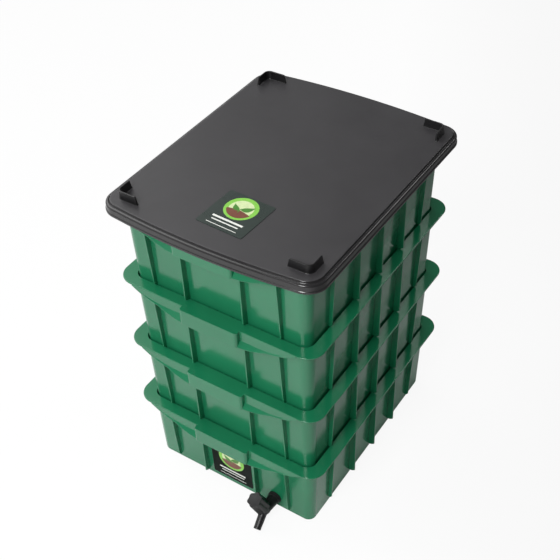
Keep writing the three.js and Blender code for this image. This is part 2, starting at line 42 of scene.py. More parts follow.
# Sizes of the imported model, in millimetres and degrees.
PITCH = 127.0                      # height that one tray adds to the stack
WALL = 2.3
FLOOR = 2.6
TOP_X, TOP_Y, TOP_R = 152.5, 187.5, 18.0
NEST_CLEARANCE = 2.0
FOOT_X = TOP_X - WALL - NEST_CLEARANCE
FOOT_Y = TOP_Y - WALL - NEST_CLEARANCE
FOOT_R = TOP_R - WALL - NEST_CLEARANCE
NEST = 9.0                         # how far a tub reaches below the foot of its fins
GAP = 0.3                          # space between pieces that touch
RIM_X, RIM_Y, RIM_R, RIM_T = 170.0, 203.0, 27.0, 2.8
SKIN = 2.6                         # lips, shelves and handles
LEVELS = {"lower": NEST + PITCH, "middle": NEST + 2 * PITCH, "upper": NEST + 3 * PITCH}
LID_Z = NEST + 4 * PITCH

# How far a cutter reaches past the surface it cuts.
SHORT_CUT_PAST, CUT_PAST, LONG_CUT_PAST = 2.0, 3.0, 4.0

# Corners of a rectangle: sign of x, sign of y and the angle at which the corner's arc starts.
CORNERS = ((1, -1, -90), (1, 1, 0), (-1, 1, 90), (-1, -1, 180))

# Places on a circle, in degrees.
RIGHT, TOP, LEFT, BOTTOM = 0, 90, 180, 270

# A corner that is cut by less than this is nearly straight, and its points span a short way.
STRAIGHT_CUT, STRAIGHT_SPAN = 0.02, 0.2


# Mesh helpers.
def mix(a, b, t):
    return a + (b - a) * t


def lookup(xs, ys, x):
    """Smooth curve through a short table."""
    n = len(xs)
    slopes = []
    for i in range(n):
        a, b = max(i - 1, 0), min(i + 1, n - 1)
        slopes.append((ys[b] - ys[a]) / (xs[b] - xs[a]))
    for i in range(n - 1):
        if x <= xs[i + 1] or i == n - 2:
            h = xs[i + 1] - xs[i]
            t = min(max((x - xs[i]) / h, 0), 1)
            return ((2 * t**3 - 3 * t**2 + 1) * ys[i]
                    + (t**3 - 2 * t**2 + t) * h * slopes[i]
                    + (-2 * t**3 + 3 * t**2) * ys[i + 1]
                    + (t**3 - t**2) * h * slopes[i + 1])


def rounded_rect(hx, hy, r, z, seg=12):
    pts = []
    for sx, sy, start in CORNERS:
        for i in range(seg + 1):
            a = math.radians(start + 90 * i / seg)
            pts.append((sx * (hx - r) + r * math.cos(a), sy * (hy - r) + r * math.sin(a), z))
    return pts


def circle(r, z, n=48):
    turns = [2 * math.pi * i / n for i in range(n)]
    return [(r * math.cos(a), r * math.sin(a), z) for a in turns]


def arc(c0, c1, r, a0, a1, steps):
    """Points on an arc about (c0, c1), from angle a0 to a1."""
    turns = [math.radians(mix(a0, a1, i / steps)) for i in range(steps + 1)]
    return [(c0 + r * math.cos(a), c1 + r * math.sin(a)) for a in turns]


def round_poly(points, radii, seg=5):
    """A flat outline with its corners rounded."""
    out = []
    n = len(points)
    for i in range(n):
        p = Vector(points[i])
        a = (Vector(points[i - 1]) - p).normalized()
        b = (Vector(points[(i + 1) % n]) - p).normalized()
        r = radii[i]
        if r <= 0:
            out.append((p.x, p.y))
            continue
        half = math.acos(max(-1, min(1, a.dot(b)))) / 2
        cut = r / math.tan(half)
        if cut < STRAIGHT_CUT:
            for k in range(seg + 1):
                q = p + a * (STRAIGHT_SPAN * (1 - k / seg)) + b * (STRAIGHT_SPAN * k / seg)
                out.append((q.x, q.y))
            continue
        centre = p + (a + b).normalized() * (r / math.sin(half))
        s, e = p + a * cut - centre, p + b * cut - centre
        total = s.angle(e)
        sign = 1 if s.x * e.y - s.y * e.x > 0 else -1
        for k in range(seg + 1):
            ang = sign * total * k / seg
            out.append((centre.x + s.x * math.cos(ang) - s.y * math.sin(ang),
                        centre.y + s.x * math.sin(ang) + s.y * math.cos(ang)))
    return out


def section(radius, height, changes):
    """Points of a section, each a change from the given radius and height."""
    return [(radius + dr, height + dz) for dr, dz in changes]


def loft(rings, bm=None, ends="caps"):
    """Skin through rings of points.

    The ends are closed with caps, with a strip of quads across a thin line, or, for a loop,
    by joining the last ring to the first.
    """
    bm = bm or bmesh.new()
    rows = [[bm.verts.new(Vector(p) * MM) for p in ring] for ring in rings]
    n = len(rows[0])
    pairs = list(zip(rows, rows[1:]))
    if ends == "loop":
        pairs.append((rows[-1], rows[0]))
    for a, b in pairs:
        for i in range(n):
            j = (i + 1) % n
            bm.faces.new((a[i], a[j], b[j], b[i]))
    if ends == "strip":
        for row in (rows[0], rows[-1]):
            for i in range(n // 2 - 1):
                bm.faces.new((row[i], row[i + 1], row[n - 2 - i], row[n - 1 - i]))
    elif ends == "caps":
        bm.faces.new(list(reversed(rows[0])))
        bm.faces.new(rows[-1])
    return bm


def link_object(name, mesh):
    obj = bpy.data.objects.new(name, mesh)
    bpy.context.scene.collection.objects.link(obj)
    return obj


def to_object(bm, name):
    bmesh.ops.recalc_face_normals(bm, faces=bm.faces[:])
    mesh = bpy.data.meshes.new(name)
    bm.to_mesh(mesh)
    bm.free()
    return link_object(name, mesh)


def join_bm(parts):
    """Several bmeshes as one mesh of separate closed shells."""
    out = bmesh.new()
    for part in parts:
        bmesh.ops.recalc_face_normals(part, faces=part.faces[:])
        tmp = bpy.data.meshes.new("tmp")
        part.to_mesh(tmp)
        part.free()
        out.from_mesh(tmp)
        bpy.data.meshes.remove(tmp)
    return out


def mirror_bm(bm, axis):
    scale = [1, 1, 1]
    scale[axis] = -1
    other = bm.copy()
    bmesh.ops.scale(other, vec=scale, verts=other.verts[:])
    bmesh.ops.reverse_faces(other, faces=other.faces[:])
    return other


def four_way(bm):
    """A shape and its mirror images across both middle planes."""
    pair = [bm, mirror_bm(bm, 0)]
    return pair + [mirror_bm(b, 1) for b in pair]


def combine(base, *steps):
    """Apply union or difference with each tool in turn and drop the tools."""
    for kind, tool in steps:
        mod = base.modifiers.new("join", "BOOLEAN")
        mod.operation = kind
        mod.solver = "EXACT"
        mod.use_self = False
        mod.object = tool
        graph = bpy.context.evaluated_depsgraph_get()
        mesh = bpy.data.meshes.new_from_object(base.evaluated_get(graph))
        base.modifiers.remove(mod)
        old = base.data
        base.data = mesh
        bpy.data.meshes.remove(old)
        bpy.data.objects.remove(tool)


def place(obj, matrix):
    obj.data.transform(matrix)
    obj.data.update()


def shift(x, y, z):
    """A move given in millimetres."""
    return Matrix.Translation(Vector((x, y, z)) * MM)


def spin(degrees, axis):
    return Matrix.Rotation(math.radians(degrees), 4, axis)


# Tray: tub and rim.
TUB_R_MIN = 2.4
FOOT_ROUND = 2.4                   # outside, between wall and floor
INNER_ROUND = 3.0                  # inside, between wall and floor
RIM_FILLET = 1.4                   # between the tub and the rim's underside
RIM_EDGE = 1.0
RIM_TOP_OUT, RIM_TOP_IN = 4, 8     # rings that close the top face round the tub's edge
MOUTH = 0.5                        # rounding round the inner edge of the rim
MOUTH_LAND = 0.6


def tub_x(z):
    return mix(FOOT_X, TOP_X, z / PITCH)


def tub_y(z):
    return mix(FOOT_Y, TOP_Y, z / PITCH)


def tub_r(z):
    return mix(FOOT_R, TOP_R, z / PITCH)


def tub_ring(z, inset):
    r = max(tub_r(z) - inset, TUB_R_MIN)
    return rounded_rect(tub_x(z) - inset, tub_y(z) - inset, r, z)


def rim_ring(z, inset):
    return rounded_rect(RIM_X - inset, RIM_Y - inset, RIM_R - inset, z)


def tray_outside(foot):
    rings = []
    for inset, z in arc(FOOT_ROUND, foot + FOOT_ROUND, FOOT_ROUND, BOTTOM, LEFT, steps=5):
        rings.append(tub_ring(z, inset))
    under = PITCH - RIM_T
    rings.append(tub_ring(under - RIM_FILLET, 0))
    for off, z in arc(RIM_FILLET, under - RIM_FILLET, RIM_FILLET, LEFT, TOP, steps=4)[1:]:
        rings.append(tub_ring(z, -off))
    for z0, a0, a1 in ((under + RIM_EDGE, BOTTOM, LEFT), (PITCH - RIM_EDGE, LEFT, TOP)):
        for inset, z in arc(RIM_EDGE, z0, RIM_EDGE, a0, a1, steps=3):
            rings.append(rim_ring(z, inset))
    rings.append(tub_ring(PITCH, -RIM_TOP_OUT))
    rings.append(tub_ring(PITCH, RIM_TOP_IN))
    return to_object(loft(rings), "tray_outside")


def tray_inside(foot):
    """Cutter for the inside of the tub."""
    low = foot + FLOOR
    round_foot = arc(WALL + INNER_ROUND, low + INNER_ROUND, INNER_ROUND, BOTTOM, LEFT, steps=5)
    rings = [tub_ring(z, inset) for inset, z in round_foot]
    rings.append(tub_ring(PITCH - MOUTH - MOUTH_LAND, WALL))
    for out, z in arc(-MOUTH, PITCH - MOUTH, MOUTH, RIGHT, TOP, steps=5):
        rings.append(tub_ring(z, WALL + out))
    edge = tub_ring(PITCH, WALL - MOUTH)
    rings.append([(x, y, PITCH + LONG_CUT_PAST) for x, y, z in edge])
    return to_object(loft(rings), "tray_inside")


# Tray: fins.
FIN_T, FIN_RISE = 2.4, 3.6
FIN_TOE_ROUND, FIN_TIP_ROUND, FIN_EDGE = 3, 1.6, 0.7
# Place along the side, reach at the top and reach at the foot.
END_FINS = ((49.3, 8.5, 10.8), (108.0, 10.5, 6.6))
SIDE_FINS = ((0, 7.5, 10.8), (65, 7.5, 10.8), (-65, 7.5, 10.8), (130, 7.5, 5.8), (-130, 7.5, 5.8))


def fin(reach_top, reach_foot, wall_at):
    """One fin as an upright plate in the plane of distance and height, round at its free edges."""
    top = PITCH - RIM_T / 2
    pts = [(wall_at(GAP) - WALL / 2, GAP), (wall_at(GAP) + reach_foot / 2, GAP),
           (wall_at(0) + reach_foot, GAP + FIN_RISE), (wall_at(PITCH) + reach_top, top),
           (wall_at(top) - WALL / 2, top)]
    pts = round_poly(pts, [0, FIN_TOE_ROUND, FIN_TIP_ROUND, 0, 0], seg=4)
    bm = bmesh.new()
    near = [bm.verts.new(Vector((p[0], -FIN_T / 2, p[1])) * MM) for p in pts]
    far = [bm.verts.new(Vector((p[0], FIN_T / 2, p[1])) * MM) for p in pts]
    n = len(pts)
    for i in range(n):
        j = (i + 1) % n
        bm.faces.new((near[i], near[j], far[j], far[i]))
    bm.faces.new(list(reversed(near)))
    bm.faces.new(far)
    bmesh.ops.recalc_face_normals(bm, faces=bm.faces[:])
    free = []
    for row in (near, far):
        for i in range(n - 2):
            free.append(bm.edges.get((row[i], row[i + 1])))
    bmesh.ops.bevel(bm, geom=free, offset=FIN_EDGE * MM, segments=3, profile=0.5,
                    affect="EDGES", clamp_overlap=True)
    return bm


def placed_fin(reach_top, reach_foot, wall_at, turn, x, y):
    bm = fin(reach_top, reach_foot, wall_at)
    bmesh.ops.rotate(bm, cent=(0, 0, 0), matrix=spin(turn, "Z").to_3x3(), verts=bm.verts[:])
    bmesh.ops.translate(bm, vec=(x * MM, y * MM, 0), verts=bm.verts[:])
    return bm


def fins():
    parts = []
    for x, top, foot in END_FINS:
        for sx in (1, -1):
            parts += [placed_fin(top, foot, tub_y, turn, sx * x, 0) for turn in (-90, 90)]
    for y, top, foot in SIDE_FINS:
        parts += [placed_fin(top, foot, tub_x, turn, 0, y) for turn in (0, 180)]
    return to_object(join_bm(parts), "tray_fins")


# Tray: lips, sloping shelves and handles of the short sides.
LIP_DEPTH, LIP_END = 17.5, 140.0
HANDLE_HALF, HANDLE_CORNER, HANDLE_REACH, HANDLE_DEPTH = 49.5, 4.5, 8.5, 28.0
HANDLE_FACE = HANDLE_HALF - HANDLE_CORNER
# Stations from the handle to the rim's corner, and the shares left there of the lip's depth,
# of the shelf's depth and of how far the shelf stands out.
STATIONS = [0, 0.18, 0.36, 0.54, 0.69, 0.85, 1]
LIP_SHARES = [1, 1, 1, 0.95, 0.79, 0.54, 0.16]
SHELF_SHARES = [0.99, 0.96, 0.86, 0.7, 0.59, 0.44, 0.15]
REACH_SHARES = [0.96, 0.79, 0.58, 0.38, 0.2, 0.04, 0]
LIP_STEPS = 34
# Rounding in the bend between lip and shelf: at most BEND, and these shares of what is there.
BEND, BEND_SHELF_SHARE, BEND_LIP_SHARE, BEND_MIN = 2.2, 0.45, 0.3, 0.3
# Rounding of the shelf's lower edge, with a smaller one at its back.
SHELF_EDGE, SHELF_EDGE_SHARE, SHELF_BACK_SHARE = 1.1, 0.3, 0.6
HANDLE_ROUND, HANDLE_EDGE = 5.0, 1.2
# Top edge of the handle: inset, corner radius and depth below the rim's top.
HANDLE_TOP = ((0, 5.0, 1.0), (0.3, 4.8, 0.3), (1.0, 4.2, 0.02))
HOLLOW_REAR = 4
HOLLOW_ROUND, HOLLOW_FLARE, HOLLOW_FLARE_H = 2.4, 0.4, 0.5


def lip_half():
    start = HANDLE_FACE - SKIN / 2
    top = PITCH - RIM_T / 2
    o, i = -RIM_Y, -RIM_Y + SKIN
    rings = []
    for k in range(LIP_STEPS + 1):
        t = k / LIP_STEPS
        x = mix(start, LIP_END, t)
        lip = PITCH - LIP_DEPTH * lookup(STATIONS, LIP_SHARES, t)
        low = min(PITCH - HANDLE_DEPTH * lookup(STATIONS, SHELF_SHARES, t), lip - SKIN / 2)
        reach = max(HANDLE_REACH * lookup(STATIONS, REACH_SHARES, t), 0)
        bend = min(BEND, (lip - low) * BEND_SHELF_SHARE, (top - lip) * BEND_LIP_SHARE + BEND_MIN)
        edge = min(SHELF_EDGE, (lip - low) * SHELF_EDGE_SHARE)
        line = [(o, top), (o, lip), (o - reach, low), (i - reach, low), (i, lip), (i, top)]
        flat = round_poly(line, [0, bend, edge, edge * SHELF_BACK_SHARE, bend, 0])
        rings.append([(x, y, z) for y, z in flat])
    return loft(rings)


def handle_ring(inset, rear, r, z):
    face = RIM_Y + HANDLE_REACH - inset
    side = HANDLE_HALF - inset
    corners = [(-side, -rear), (-side, -face), (side, -face), (side, -rear)]
    return [(x, y, z) for x, y in round_poly(corners, [0, r, r, 0], seg=8)]


def handle():
    """The handle's block and the cutter for the finger room under it."""
    foot = PITCH - HANDLE_DEPTH
    back = tub_y(foot) - WALL / 2
    edge = arc(HANDLE_EDGE, foot + HANDLE_EDGE, HANDLE_EDGE, BOTTOM, LEFT, steps=4)
    rings = [handle_ring(inset, back, HANDLE_ROUND - inset, z) for inset, z in edge]
    rings += [handle_ring(inset, back, r, PITCH - depth) for inset, r, depth in HANDLE_TOP]
    rear = back - HOLLOW_REAR
    flared, flared_r = SKIN - HOLLOW_FLARE, HOLLOW_ROUND + HOLLOW_FLARE
    hollow = [handle_ring(SKIN, rear, HOLLOW_ROUND, PITCH - RIM_T),
              handle_ring(SKIN, rear, HOLLOW_ROUND, foot + HOLLOW_FLARE_H),
              handle_ring(flared, rear, flared_r, foot),
              handle_ring(flared, rear, flared_r, foot - CUT_PAST)]
    return loft(rings), loft(hollow)


def end_skirts():
    """Handles, lips and sloping shelves of both short sides."""
    lips = four_way(lip_half())
    grip, hollow = handle()
    skirts = to_object(join_bm([grip, mirror_bm(grip, 1)]), "end_skirts")
    combine(skirts, ("UNION", to_object(join_bm(lips), "lips")),
            ("DIFFERENCE", to_object(join_bm([hollow, mirror_bm(hollow, 1)]), "hollows")))
    return skirts


# Tray: drain holes.
DRAIN_COLUMNS, DRAIN_ROWS = 6, 8
DRAIN_PITCH_X, DRAIN_PITCH_Y = 44, 43
DRAIN_R, DRAIN_SIDES = 3.2, 16


def drain_holes(foot):
    parts = []
    for column in range(DRAIN_COLUMNS):
        for row in range(DRAIN_ROWS):
            x = (column - (DRAIN_COLUMNS - 1) / 2) * DRAIN_PITCH_X
            y = (row - (DRAIN_ROWS - 1) / 2) * DRAIN_PITCH_Y
            ends = [circle(DRAIN_R, height, DRAIN_SIDES)
                    for height in (foot - CUT_PAST, foot + FLOOR + CUT_PAST)]
            parts.append(loft([[(x + px, y + py, z) for px, py, z in end] for end in ends]))
    return to_object(join_bm(parts), "drain_holes")


def tray(name, foot, perforated):
    body = tray_outside(foot)
    steps = [("UNION", end_skirts()), ("UNION", fins()), ("DIFFERENCE", tray_inside(foot))]
    if perforated:
        steps.append(("DIFFERENCE", drain_holes(foot)))
    combine(body, *steps)
    body.name = name
    return body


# Lid.
LID_X, LID_Y = RIM_X + 7.0, RIM_Y + 6.0
LID_R = RIM_R + 3.5
LID_BOW = HANDLE_REACH
SKIRT_FOOT, BEAD_H, BEAD_D = -6.0, 3.2, 1.0
SHOULDER_H = 5.2
LEDGE_H, LEDGE_IN = 7.4, 4.0
GROOVE_IN, GROOVE_H = 5.6, 6.8
STEP_IN = 6.4
PANEL_IN, PANEL_H = 8.2, 10.0
LID_SKIN = 2.4
UNDER_PANEL = PANEL_H - LID_SKIN
SKIRT_IN = BEAD_D + LID_SKIN
BEAD_TOP = SKIRT_FOOT + BEAD_H
SHOULDER_ROUND, SHOULDER_AT = 3.0, 4.3
PANEL_ROUND = 1.75
# Section of the lid as (inset from its outline, height): under the panel, round the skirt's
# bead, over the shoulder and the groove, and up the step to the panel.
LID_SECTION = [
    (STEP_IN + LID_SKIN + 1.2, UNDER_PANEL), (STEP_IN + LID_SKIN, LEDGE_H - LID_SKIN),
    (GROOVE_IN + BEAD_D, LEDGE_H - LID_SKIN), (SKIRT_IN, SHOULDER_H / 2),
    (SKIRT_IN, SKIRT_FOOT + 0.4), (SKIRT_IN - 0.4, SKIRT_FOOT), (0.5, SKIRT_FOOT),
    (0.12, SKIRT_FOOT + 0.16), (0, SKIRT_FOOT + 0.5), (0, BEAD_TOP - 0.4), (0.15, BEAD_TOP),
    (0.8, BEAD_TOP + 0.5), (BEAD_D, BEAD_TOP + 1.0), (BEAD_D, 2.4),
    *arc(BEAD_D + SHOULDER_ROUND, SHOULDER_AT, SHOULDER_ROUND, LEFT, TOP + 6, steps=6),
    (LEDGE_IN + 0.7, LEDGE_H - 0.02), (GROOVE_IN - 0.45, GROOVE_H + 0.12),
    (GROOVE_IN, GROOVE_H), (GROOVE_IN + 0.4, GROOVE_H + 0.25), (STEP_IN, GROOVE_H + 0.9),
    (STEP_IN + 0.12, PANEL_H - 1.9),
    *arc(STEP_IN + 2.0, PANEL_H - PANEL_ROUND, PANEL_ROUND, LEFT - 8, TOP, steps=6),
    (PANEL_IN + 2.5, PANEL_H),
]
SEAT_IN = 8.5                      # rib that stands on the rim, in from the rim's edge
SEAT_ROOT = 0.6                    # how far it runs into the panel
# Faces below this band take the rim's material, whose darker colour is painted shade.
PANEL_BAND = 0.5                   # faces lower than this below the panel have the rim's look

# Lugs.
LUG_IN_X, LUG_IN_Y, LUG_ARM_X, LUG_ARM_Y = 20.0, 22.0, 34.0, 28.0
LUG_H, LUG_T, LUG_R = 13.0, 3.6, 8.0
LUG_DRAFT_T, LUG_DRAFT_ARM = 0.5, 2.4
LUG_BEND_STEPS = 8
LUG_END_ROUND = 0.9
# Share of the draft, inset and height above the panel, from the root to the top.
LUG_ROWS = ((0, -1.0, -1.2), (0, -1.0, -0.2), (0, -0.35, 0.3), (0, 0, 1.1),
            (0.93, 0, LUG_H - 0.8), (0.98, 0.25, LUG_H - 0.25), (1, 0.8, LUG_H))


def lid_ring(inset, z, seg=12, bow_seg=22):
    """The lid's outline: round corners, straight long sides and bowed short sides."""
    r = LID_R - inset
    cx, cy = LID_X - LID_R, LID_Y - LID_R
    tilt = math.degrees(math.atan2(2 * LID_BOW, cx))
    pts = []
    for sx, sy, start in CORNERS:
        a0 = start + (tilt if sx != sy else 0)
        a1 = start + 90 - (tilt if sx == sy else 0)
        for i in range(seg + 1):
            a = math.radians(mix(a0, a1, i / seg))
            pts.append((sx * cx + r * math.cos(a), sy * cy + r * math.sin(a), z))
        if sx == sy:
            for i in range(1, bow_seg):
                share = 2 * i / bow_seg - 1
                y = LID_Y - inset + LID_BOW * (1 - share * share)
                pts.append((-sx * share * cx, sy * y, z))
    return pts


def lug_line(draft, drop):
    """The L-shaped outline of a lug."""
    t = LUG_T / 2 - LUG_DRAFT_T * draft - drop
    rx = LUG_ARM_X - LUG_DRAFT_ARM * draft - drop
    ry = LUG_ARM_Y - LUG_DRAFT_ARM * draft - drop
    outer, inner = [], []
    for i in range(LUG_BEND_STEPS + 1):
        a = math.radians(90 * i / LUG_BEND_STEPS)
        c, s = math.cos(a), math.sin(a)
        outer.append(((LUG_R + t) * c - LUG_R, (LUG_R + t) * s - LUG_R))
        inner.insert(0, ((LUG_R - t) * c - LUG_R, (LUG_R - t) * s - LUG_R))
    line = [(t, -ry)] + outer + [(-rx, t), (-rx, -t)] + inner + [(-t, -ry)]
    end, bend = [LUG_END_ROUND], [0] * len(outer)
    return round_poly(line, end + bend + end + end + bend + end, seg=3)


def lug():
    rings = [[(x, y, PANEL_H + h) for x, y in lug_line(draft, drop)] for draft, drop, h in LUG_ROWS]
    bm = loft(rings, ends="strip")
    # Slot 1 is the lugs' material, the lid's plastic with painted shade: near black.
    for f in bm.faces:
        f.material_index = 1
    at = (LID_X - LUG_IN_X - LUG_T / 2, LID_Y - LUG_IN_Y - LUG_T / 2, 0)
    bmesh.ops.translate(bm, vec=Vector(at) * MM, verts=bm.verts[:])
    return bm


def lid():
    body = to_object(loft([lid_ring(inset, z) for inset, z in LID_SECTION]), "lid_body")
    low, high = GAP, UNDER_PANEL + SEAT_ROOT
    seat = loft([rim_ring(z, SEAT_IN + skin)
                 for skin, z in ((LID_SKIN, high), (LID_SKIN, low), (0, low), (0, high))],
                ends="loop")
    lugs = to_object(join_bm(four_way(lug())), "lugs")
    for obj in (body, lugs):
        for mat in (lid_mat, lug_painted_shade_mat, rim_painted_shade_mat):
            obj.data.materials.append(mat)
    combine(body, ("UNION", to_object(seat, "seat")), ("UNION", lugs))
    # Faces under the panel take slot 2, the rim's material with painted shade.
    for face in body.data.polygons:
        if face.material_index == 0 and face.center.z < (PANEL_H - PANEL_BAND) * MM:
            face.material_index = 2
    return body


# Labels.
LABEL_W, LABEL_H, LABEL_R, LABEL_T = 77.0, 79.0, 3.0, 0.65
# Edge of the film: inset and height.
FILM_EDGE = ((0.1, 0.05), (0, 0.15), (0, LABEL_T - 0.12), (0.12, LABEL_T))
PRINT_ROOT = 0.1                   # how far the print's shapes reach into the film
DESIGN_Y = 12
RING_R, FIELD_R, SOIL_R = 24.5, 18.0, 20.5
ROUND_STEPS = 64
SOIL_FROM, SOIL_TO, SOIL_STEPS = 200, 340, 32
MOUND_STEPS, MOUND_H = 12, 3.2
# Length, width, turn and place of the foot of each leaf; the second is then mirrored.
RIGHT_LEAF = (21, 10.5, -48, (0.4, 9.5))
LEFT_LEAF = (17, 9.0, -52, (0.4, 7.0))
LEAF_STEPS, LEAF_SKEW, LEAF_TAPER, LEAF_BEND = 14, 0.8, 0.25, 0.12
STEM = [(-0.8, 3), (0.8, 3), (0.7, 11), (0.1, 13), (-0.5, 11)]
# Half width, foot and height of each rule.
RULES = ((25, -19.8, 3.4), (22, -25.8, 2.0), (25, -33.6, 1.1))


def leaf(length, width, turn, at):
    """A pointed leaf as a flat outline, its foot at the given place."""
    left, right = [], []
    for i in range(LEAF_STEPS + 1):
        t = i / LEAF_STEPS
        w = width / 2 * math.sin(math.pi * t ** LEAF_SKEW) * (1 - LEAF_TAPER * t)
        bend = LEAF_BEND * length * math.sin(math.pi * t)
        left.append((bend - w, length * t))
        right.append((bend + w, length * t))
    pts = right + list(reversed(left[1:-1]))
    c, s = math.cos(math.radians(turn)), math.sin(math.radians(turn))
    return [(at[0] + x * c - y * s, at[1] + x * s + y * c) for x, y in pts]


def disc(r):
    return [(x, DESIGN_Y + y) for x, y, z in circle(r, 0, ROUND_STEPS)]


def soil_mound():
    soil = arc(0, DESIGN_Y, SOIL_R, SOIL_FROM, SOIL_TO, SOIL_STEPS)
    first, last = soil[0], soil[-1]
    for i in range(1, MOUND_STEPS):
        t = i / MOUND_STEPS
        rise = MOUND_H * math.sin(math.pi * t)
        soil.append((mix(last[0], first[0], t), mix(last[1], first[1], t) + rise))
    return soil


def label_shapes():
    """Generic decoration: a sprout on a mound of soil in a round field, and three plain rules.

    Each shape has its material, its outline and its height above the film.
    """
    left = [(-x, y) for x, y in reversed(leaf(*LEFT_LEAF))]
    shapes = [("label_ring", disc(RING_R), 0.04), ("label_pale", disc(FIELD_R), 0.07),
              ("label_soil", soil_mound(), 0.1), ("label_leaf", leaf(*RIGHT_LEAF), 0.13),
              ("label_leaf", left, 0.13), ("label_leaf", STEM, 0.12)]
    for w, y, h in RULES:
        shapes.append(("label_white", [(-w, y), (w, y), (w, y + h), (-w, y + h)], 0.05))
    return shapes


def label(name, materials):
    """Film and decoration, lying flat with its underside at zero."""
    rings = []
    for inset, height in FILM_EDGE:
        hx, hy = LABEL_W / 2 - inset, LABEL_H / 2 - inset
        rings.append(rounded_rect(hx, hy, LABEL_R - inset, height, seg=6))
    bm = loft(rings)
    names = ["label_film"]
    for mat, pts, lift in label_shapes():
        if mat not in names:
            names.append(mat)
        before = set(bm.faces)
        loft([[(x, y, z) for x, y in pts] for z in (LABEL_T - PRINT_ROOT, LABEL_T + lift)], bm)
        for f in set(bm.faces) - before:
            f.material_index = names.index(mat)
    obj = to_object(bm, name)
    for n in names:
        obj.data.materials.append(materials[n])
    return obj


# Tap.
TAP_X, TAP_Z, TAP_ROLL = 81.0, 22.9, 11.0
LEAN = math.degrees(math.atan2(TOP_Y - FOOT_Y, PITCH))
TAIL_R, TAIL_L, TAIL_CLEARANCE = 7.2, 16.0, 0.4
HOLE_R = TAIL_R + TAIL_CLEARANCE
SEAL_T, SEAL_W = 2.6, 3.6
COLLAR_W, COLLAR_T = 1.2, 3.0
BARREL_R, BARREL_END, BARREL_PAST, BORE_R = 10.0, 7.1, 8.5, 4.2
VALVE, TILT = 28.9, 21.0
PLUG_R, PLUG_FOOT = 5.3, 4.2
CHAMBER_R, CHAMBER_FOOT = PLUG_R + 0.4, PLUG_FOOT + 0.6
HOUSE_R, HOUSE_FOOT, HOUSE_TOP = CHAMBER_R + 2.2, CHAMBER_FOOT + 1.8, 15.0
SPOUT_START, SPOUT_ANGLE, SPOUT_BEND, SPOUT_RUN = VALVE + 2.6, 31.5, 8.0, 27.2
SPOUT_R, SPOUT_TIP, SPOUT_BORE = 6.6, 6.0, 4.3
SPOUT_BEND_STEPS = 12
SPOUT_SHARES = (0.3, 0.6)
# Distance before the spout's end and change of radius there: a faint bead and a round end.
SPOUT_BEAD = ((4.2, -0.1), (3.9, 0.02), (0.7, 0), (0.2, -0.25), (0, -0.7))
# Edges and grooves of the turned shapes, as changes of radius and of height: the tail's end,
# one turn of its thread, both sides of the collar, the barrel's ends, and the housing's ends.
TAIL_EDGE = ((-1.0, 0), (0, 1.0))
THREAD = ((0, 0), (-0.7, 0.5), (-0.7, 0.8), (0, 1.3))
THREAD_PITCH, THREAD_START, THREAD_END = 1.9, 1.6, 3.6
COLLAR_BACK = ((-0.6, 0), (0, 0.6))
COLLAR_FRONT = ((0, -0.8), (-0.25, -0.25), (-0.9, 0))
BARREL_ROOT = ((0.9, 0), (0.25, 0.25), (-0.05, 0.9))
BARREL_TIP = ((0, 0), (-0.6, 1.1), (-2, 2))
HOUSE_BASE = ((-3.4, 0), (-2.4, 0.5), (0, 3.2))
HOUSE_EDGE = ((0, -0.6), (-0.6, 0))
NUT_WALL, NUT_T, IN_SEAL_W, IN_SEAL_T = 2.4, 6.0, 3.4, 1.8
ROUND_SIDES, CUTTER_SIDES, SPOUT_SIDES, RING_SIDES, KNOB_SIDES = 48, 36, 40, 60, 96

# Knob.
KNOB_FOOT, KNOB_H = HOUSE_TOP - 3.5, 30.8
KNOB_TOP = KNOB_FOOT + KNOB_H
KNOB_HOLLOW_R, KNOB_HOLLOW_TOP = HOUSE_R + 1.2, HOUSE_TOP + 2.0
KNOB_LOBES, KNOB_DEPTH = 6, 1.8
KNOB_FOOT_R = KNOB_HOLLOW_R + 2.8 + KNOB_DEPTH
KNOB_TOP_R = KNOB_FOOT_R - 0.8
KNOB_SOCKET_R, KNOB_SOCKET_DEPTH = 3.3, 7
KNOB_EDGE = 0.9
KNOB_MOUTH = ((0, 0.4), (0.4, 0))
KNOB_BASE = ((-0.6, 0), (-0.15, 0.2), (0, 0.7))
KNOB_SIDE_END = 1.0                # below the top
# Domed top: inset, height above the edge and depth of the lobes.
KNOB_DOME = ((2.4, 0.1, 1.5), (4.6, 0.35, 0.7), (7.5, 0.6, 0))
KNOB_CENTRE_R, KNOB_CENTRE_H = 1.2, 0.78

# Out of the wall at the tap's place, along the barrel, and on the tilted valve axis.
TAP_PLACE = shift(TAP_X, -tub_y(TAP_Z - NEST), TAP_Z) @ spin(LEAN, "X") @ spin(-TAP_ROLL, "Y")
ALONG = spin(90, "X")
ON_VALVE = shift(0, -VALVE, 0) @ spin(TILT, "X")


def turned(rows, name, matrix, n=ROUND_SIDES):
    """A turned solid from rows of radius and height."""
    bm = loft([circle(r, z, n) for r, z in rows])
    bm.transform(matrix)
    return to_object(bm, name)


def spout(name, r0, r1, extra=0.0, bead=False, n=SPOUT_SIDES):
    stations = [(VALVE, 0, 0, r0)]
    for i in range(SPOUT_BEND_STEPS + 1):
        lean = SPOUT_ANGLE * i / SPOUT_BEND_STEPS
        a = math.radians(lean)
        y, z = SPOUT_START + SPOUT_BEND * math.sin(a), -SPOUT_BEND * (1 - math.cos(a))
        stations.append((y, z, lean, r0))
    y0, z0 = stations[-1][:2]
    fall = math.radians(SPOUT_ANGLE)
    run = SPOUT_RUN + extra
    steps = [(t, mix(r0, r1, t)) for t in SPOUT_SHARES]
    if bead:
        steps += [(1 - before / run, r1 + change) for before, change in SPOUT_BEAD]
    else:
        steps.append((1, r1))
    for t, r in steps:
        y, z = y0 + run * t * math.cos(fall), z0 - run * t * math.sin(fall)
        stations.append((y, z, SPOUT_ANGLE, r))
    rings = []
    for y, z, lean, r in stations:
        up = math.radians(lean)
        rings.append([(px, -(y + py * math.sin(up)), z + py * math.cos(up))
                      for px, py, _ in circle(r, 0, n)])
    return to_object(loft(rings), name)


